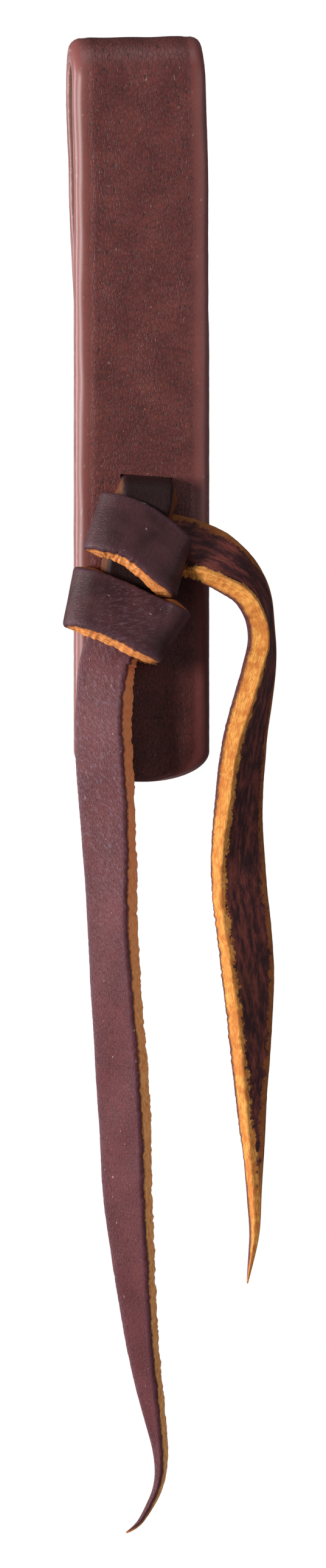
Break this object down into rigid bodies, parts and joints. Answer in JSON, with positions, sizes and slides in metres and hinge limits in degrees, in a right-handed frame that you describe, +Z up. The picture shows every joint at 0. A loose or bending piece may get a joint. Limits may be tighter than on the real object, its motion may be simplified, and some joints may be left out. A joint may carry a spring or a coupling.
{
  "type": "leather rein bit end",
  "caption": "Doubled leather strap that loops round a bit ring, closed by a lace tied in a knot on its front, with loose tapered tails.",
  "frame": {"origin": "centre of the seat inside the fold, where the bit ring sits", "axes": "+Z up along the hanging strap towards the bit, +X to the strap's right, -Y out of the front face that carries the knot"},
  "size_m": [0.0307, 0.0232, 0.2122],
  "materials": {
    "strap_leather": "satin",
    "lace_leather": "satin"
  },
  "bodies": {
    "knotted_loop": {"loop_strap": "strap_leather", "core_strand": "lace_leather", "back_bar": "lace_leather", "upper_turn": "lace_leather", "lower_turn": "lace_leather"},
    "long_tail": {"long_tail": "lace_leather"},
    "short_tail": {"short_tail": "lace_leather"}
  },
  "joints": [
    {"name": "long_tail_swing", "type": "hinge", "parent": "knotted_loop", "child": "long_tail", "pos_m": [-0.0059, -0.0114, -0.0832], "axis": [-0.9063, 0.4226, 0], "range_deg": [-5, 75], "stiffness_Nm_per_rad": 0.02},
    {"name": "short_tail_swing", "type": "hinge", "parent": "knotted_loop", "child": "short_tail", "pos_m": [0.0083, -0.0084, -0.0673], "axis": [0, 0, -1], "range_deg": [0, 45], "stiffness_Nm_per_rad": 0.02}
  ]
}
